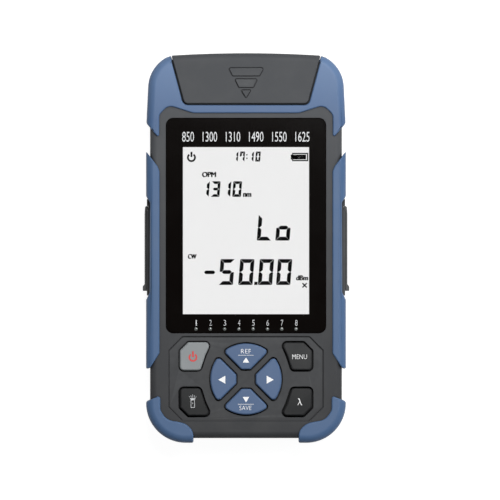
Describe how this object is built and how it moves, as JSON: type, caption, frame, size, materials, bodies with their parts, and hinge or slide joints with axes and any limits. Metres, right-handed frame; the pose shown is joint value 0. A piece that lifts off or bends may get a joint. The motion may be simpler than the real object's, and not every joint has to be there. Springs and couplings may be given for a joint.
{
  "type": "optical power meter",
  "caption": "Hand-held optical power meter with a large display, a ring of direction keys, a soft bumper skin, side port flaps and a flip cover over the fibre ports.",
  "frame": {"origin": "middle of the footprint, at the level of the back bumpers", "axes": "+X across the width, to the right of the display; +Y along the length, towards the fibre ports; +Z out of the display"},
  "size_m": [0.0876, 0.165, 0.0362],
  "materials": {
    "case_plastic": "fine texture",
    "skin_blue": "soft touch, matt",
    "cover_plastic": "fine texture",
    "rubber_dark": "matt",
    "key_blue": "satin",
    "key_light": "satin",
    "key_dark": "satin",
    "window_glass": "black printed border, clear middle",
    "display_glass": "pale",
    "white_plastic": "white",
    "lamp_plastic": "clear",
    "board": "green resist",
    "steel": "zinc plated",
    "port_metal": "nickel plated",
    "brass": "turned",
    "black_plastic": "moulded",
    "lamp_star": "plain",
    "cell_wrap": "printed wrap"
  },
  "bodies": {
    "meter": {"aa_cell_1": "cell_wrap", "aa_cell_2": "cell_wrap", "aa_cell_3": "cell_wrap", "back_shell": "case_plastic", "battery_contacts": "steel", "battery_door": "case_plastic", "battery_door_screw": "steel", "board_screws": "steel", "buzzer": "black_plastic", "case_screws": "steel", "charge_socket": "black_plastic", "cover_pin": "steel", "detector": "port_metal", "display_holder": "white_plastic", "display_panel": "display_glass", "display_window": "window_glass", "front_shell": "case_plastic", "gasket": "rubber_dark", "key_switches": "black_plastic", "laser_module": "brass", "laser_port": "port_metal", "left_corner_guard_back": "skin_blue", "left_corner_guard_front": "skin_blue", "left_grip_back": "skin_blue", "left_grip_front": "skin_blue", "left_network_jack": "black_plastic", "main_board": "board", "port_plate": "port_metal", "power_port": "port_metal", "right_corner_guard_back": "skin_blue", "right_corner_guard_front": "skin_blue", "right_grip_back": "skin_blue", "right_grip_front": "skin_blue", "right_network_jack": "black_plastic", "status_lamps": "lamp_plastic", "top_bumper_back": "skin_blue", "top_bumper_front": "skin_blue", "torch_lamp": "lamp_star", "torch_lens": "lamp_plastic"},
    "cover": {"port_cover": "cover_plastic"},
    "right_flap": {"right_port_flap": "rubber_dark"},
    "left_flap": {"left_port_flap": "rubber_dark"},
    "key_up_body": {"key_up": "key_blue"},
    "key_down_body": {"key_down": "key_blue"},
    "key_left_body": {"key_left": "key_blue"},
    "key_right_body": {"key_right": "key_blue"},
    "key_power_body": {"key_power": "key_light"},
    "key_menu_body": {"key_menu": "key_dark"},
    "key_torch_body": {"key_torch": "key_dark"},
    "key_wavelength_body": {"key_wavelength": "key_dark"}
  },
  "joints": [
    {"name": "cover_hinge", "type": "hinge", "parent": "meter", "child": "cover", "pos_m": [0, 0.0801, 0.0024], "axis": [-1, 0, 0], "range_deg": [0, 115]},
    {"name": "right_flap_hinge", "type": "hinge", "parent": "meter", "child": "right_flap", "pos_m": [0.042, 0.017, 0.018], "axis": [0, 0, 1], "range_deg": [0, 110]},
    {"name": "left_flap_hinge", "type": "hinge", "parent": "meter", "child": "left_flap", "pos_m": [-0.042, 0.017, 0.018], "axis": [0, 0, -1], "range_deg": [0, 110]},
    {"name": "key_up_press", "type": "slide", "parent": "meter", "child": "key_up_body", "axis": [0, 0, 1], "range_m": [-0.0008, 0], "stiffness_N_per_m": 600, "springref_m": 0.0008},
    {"name": "key_down_press", "type": "slide", "parent": "meter", "child": "key_down_body", "axis": [0, 0, 1], "range_m": [-0.0008, 0], "stiffness_N_per_m": 600, "springref_m": 0.0008},
    {"name": "key_left_press", "type": "slide", "parent": "meter", "child": "key_left_body", "axis": [0, 0, 1], "range_m": [-0.0008, 0], "stiffness_N_per_m": 600, "springref_m": 0.0008},
    {"name": "key_right_press", "type": "slide", "parent": "meter", "child": "key_right_body", "axis": [0, 0, 1], "range_m": [-0.0008, 0], "stiffness_N_per_m": 600, "springref_m": 0.0008},
    {"name": "key_power_press", "type": "slide", "parent": "meter", "child": "key_power_body", "axis": [0, 0, 1], "range_m": [-0.0008, 0], "stiffness_N_per_m": 600, "springref_m": 0.0008},
    {"name": "key_menu_press", "type": "slide", "parent": "meter", "child": "key_menu_body", "axis": [0, 0, 1], "range_m": [-0.0008, 0], "stiffness_N_per_m": 600, "springref_m": 0.0008},
    {"name": "key_torch_press", "type": "slide", "parent": "meter", "child": "key_torch_body", "axis": [0, 0, 1], "range_m": [-0.0008, 0], "stiffness_N_per_m": 600, "springref_m": 0.0008},
    {"name": "key_wavelength_press", "type": "slide", "parent": "meter", "child": "key_wavelength_body", "axis": [0, 0, 1], "range_m": [-0.0008, 0], "stiffness_N_per_m": 600, "springref_m": 0.0008}
  ]
}
